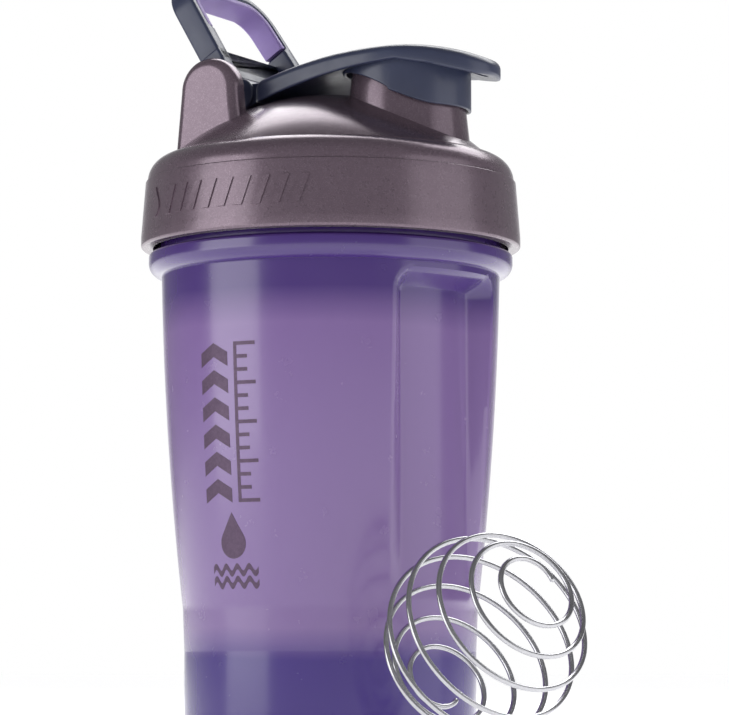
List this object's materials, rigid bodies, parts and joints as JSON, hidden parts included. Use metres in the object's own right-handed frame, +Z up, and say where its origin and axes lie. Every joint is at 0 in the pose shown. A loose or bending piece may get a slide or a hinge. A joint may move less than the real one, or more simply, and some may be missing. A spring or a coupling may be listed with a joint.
{
  "type": "protein shaker bottle",
  "caption": "Translucent shaker cup with a domed screw lid, a flip cap over a round drinking spout, a hinged carry loop and a loose wire whisk ball.",
  "frame": {"origin": "centre of the cup's flat base, on the surface it stands on", "axes": "+Z up the bottle, +X towards the drinking spout, +Y to the left of the spout seen from the hinge"},
  "size_m": [0.1353, 0.1093, 0.1931],
  "materials": {
    "cup_plastic": "translucent, satin gloss",
    "lid_plastic": "metallic pearl, satin gloss",
    "slate_plastic": "fine satin",
    "liner_rubber": "soft matt",
    "plug_rubber": "soft matt",
    "seal_silicone": "soft matt",
    "pin_steel": "drawn",
    "wire_steel": "electropolished"
  },
  "bodies": {
    "cup": {"bottle_body": "cup_plastic"},
    "seal": {"lid_seal": "seal_silicone"},
    "lid": {"lid": "lid_plastic", "hinge_pin": "pin_steel"},
    "cap": {"flip_cap": "slate_plastic", "spout_plug": "plug_rubber"},
    "loop": {"loop_frame": "slate_plastic", "loop_liner": "liner_rubber"},
    "ball": {"whisk_ball": "wire_steel"}
  },
  "joints": [
    {"name": "lid_lift", "type": "slide", "parent": "cup", "child": "seal", "axis": [0, 0, 1], "range_m": [0, 0.024]},
    {"name": "lid_turn", "type": "hinge", "parent": "seal", "child": "lid", "pos_m": [0, 0, 0.14], "axis": [0, 0, 1], "range_deg": [0, 1080]},
    {"name": "cap_flip", "type": "hinge", "parent": "lid", "child": "cap", "pos_m": [-0.0202, 0, 0.162], "axis": [0, -1, 0], "range_deg": [0, 80]},
    {"name": "loop_swing", "type": "hinge", "parent": "lid", "child": "loop", "pos_m": [-0.0202, 0, 0.162], "axis": [0, -1, 0], "range_deg": [0, 70]},
    {"name": "ball_lift", "type": "slide", "parent": "cup", "child": "ball", "axis": [0, 0, 1], "range_m": [0, 0.25]}
  ],
  "couplings": [
    {"joint": "lid_lift", "follows": "lid_turn", "m_per_rad": 0.0012732}
  ]
}
